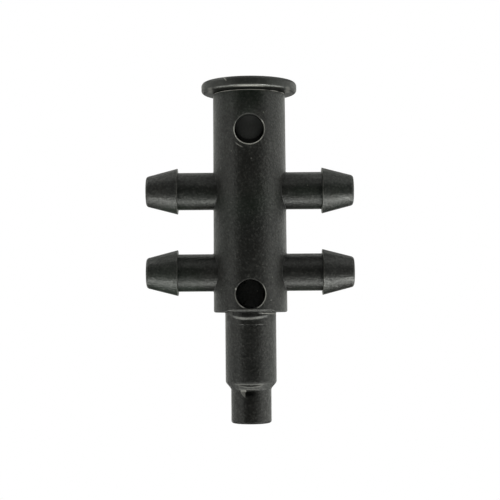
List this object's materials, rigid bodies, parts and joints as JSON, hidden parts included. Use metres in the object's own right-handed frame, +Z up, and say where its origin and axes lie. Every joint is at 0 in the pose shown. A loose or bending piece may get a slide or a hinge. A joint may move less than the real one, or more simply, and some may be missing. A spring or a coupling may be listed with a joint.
{
  "type": "barbed manifold fitting",
  "caption": "Stepped-stem irrigation fitting with a round barrel, barbed outlets on both sides at two heights, front windows, and a push-in flanged plug sealed by O-rings.",
  "frame": {"origin": "centre of the stem's lower end face", "axes": "+Z up the barrel towards the flanged head, +X along the outlets, front windows facing -Y"},
  "size_m": [0.0232, 0.0106, 0.038],
  "materials": {
    "body_plastic": "black moulded plastic, fine matt grain, polished land under the shoulder and at the stem's step",
    "plug_plastic": "black moulded plastic, satin, small scratches on the rim",
    "seal_rubber": "black nitrile rubber, lightly greased"
  },
  "bodies": {
    "manifold": {"manifold_body": "body_plastic"},
    "seals": {"upper_o_ring": "seal_rubber", "lower_o_ring": "seal_rubber"},
    "plug": {"flanged_plug": "plug_plastic"}
  },
  "joints": [
    {"name": "plug_pull", "type": "slide", "parent": "manifold", "child": "seals", "axis": [0, 0, 1], "range_m": [0, 0.0105]},
    {"name": "plug_turn", "type": "hinge", "parent": "seals", "child": "plug", "pos_m": [0, 0, 0.03668], "axis": [0, 0, 1], "continuous": true}
  ]
}
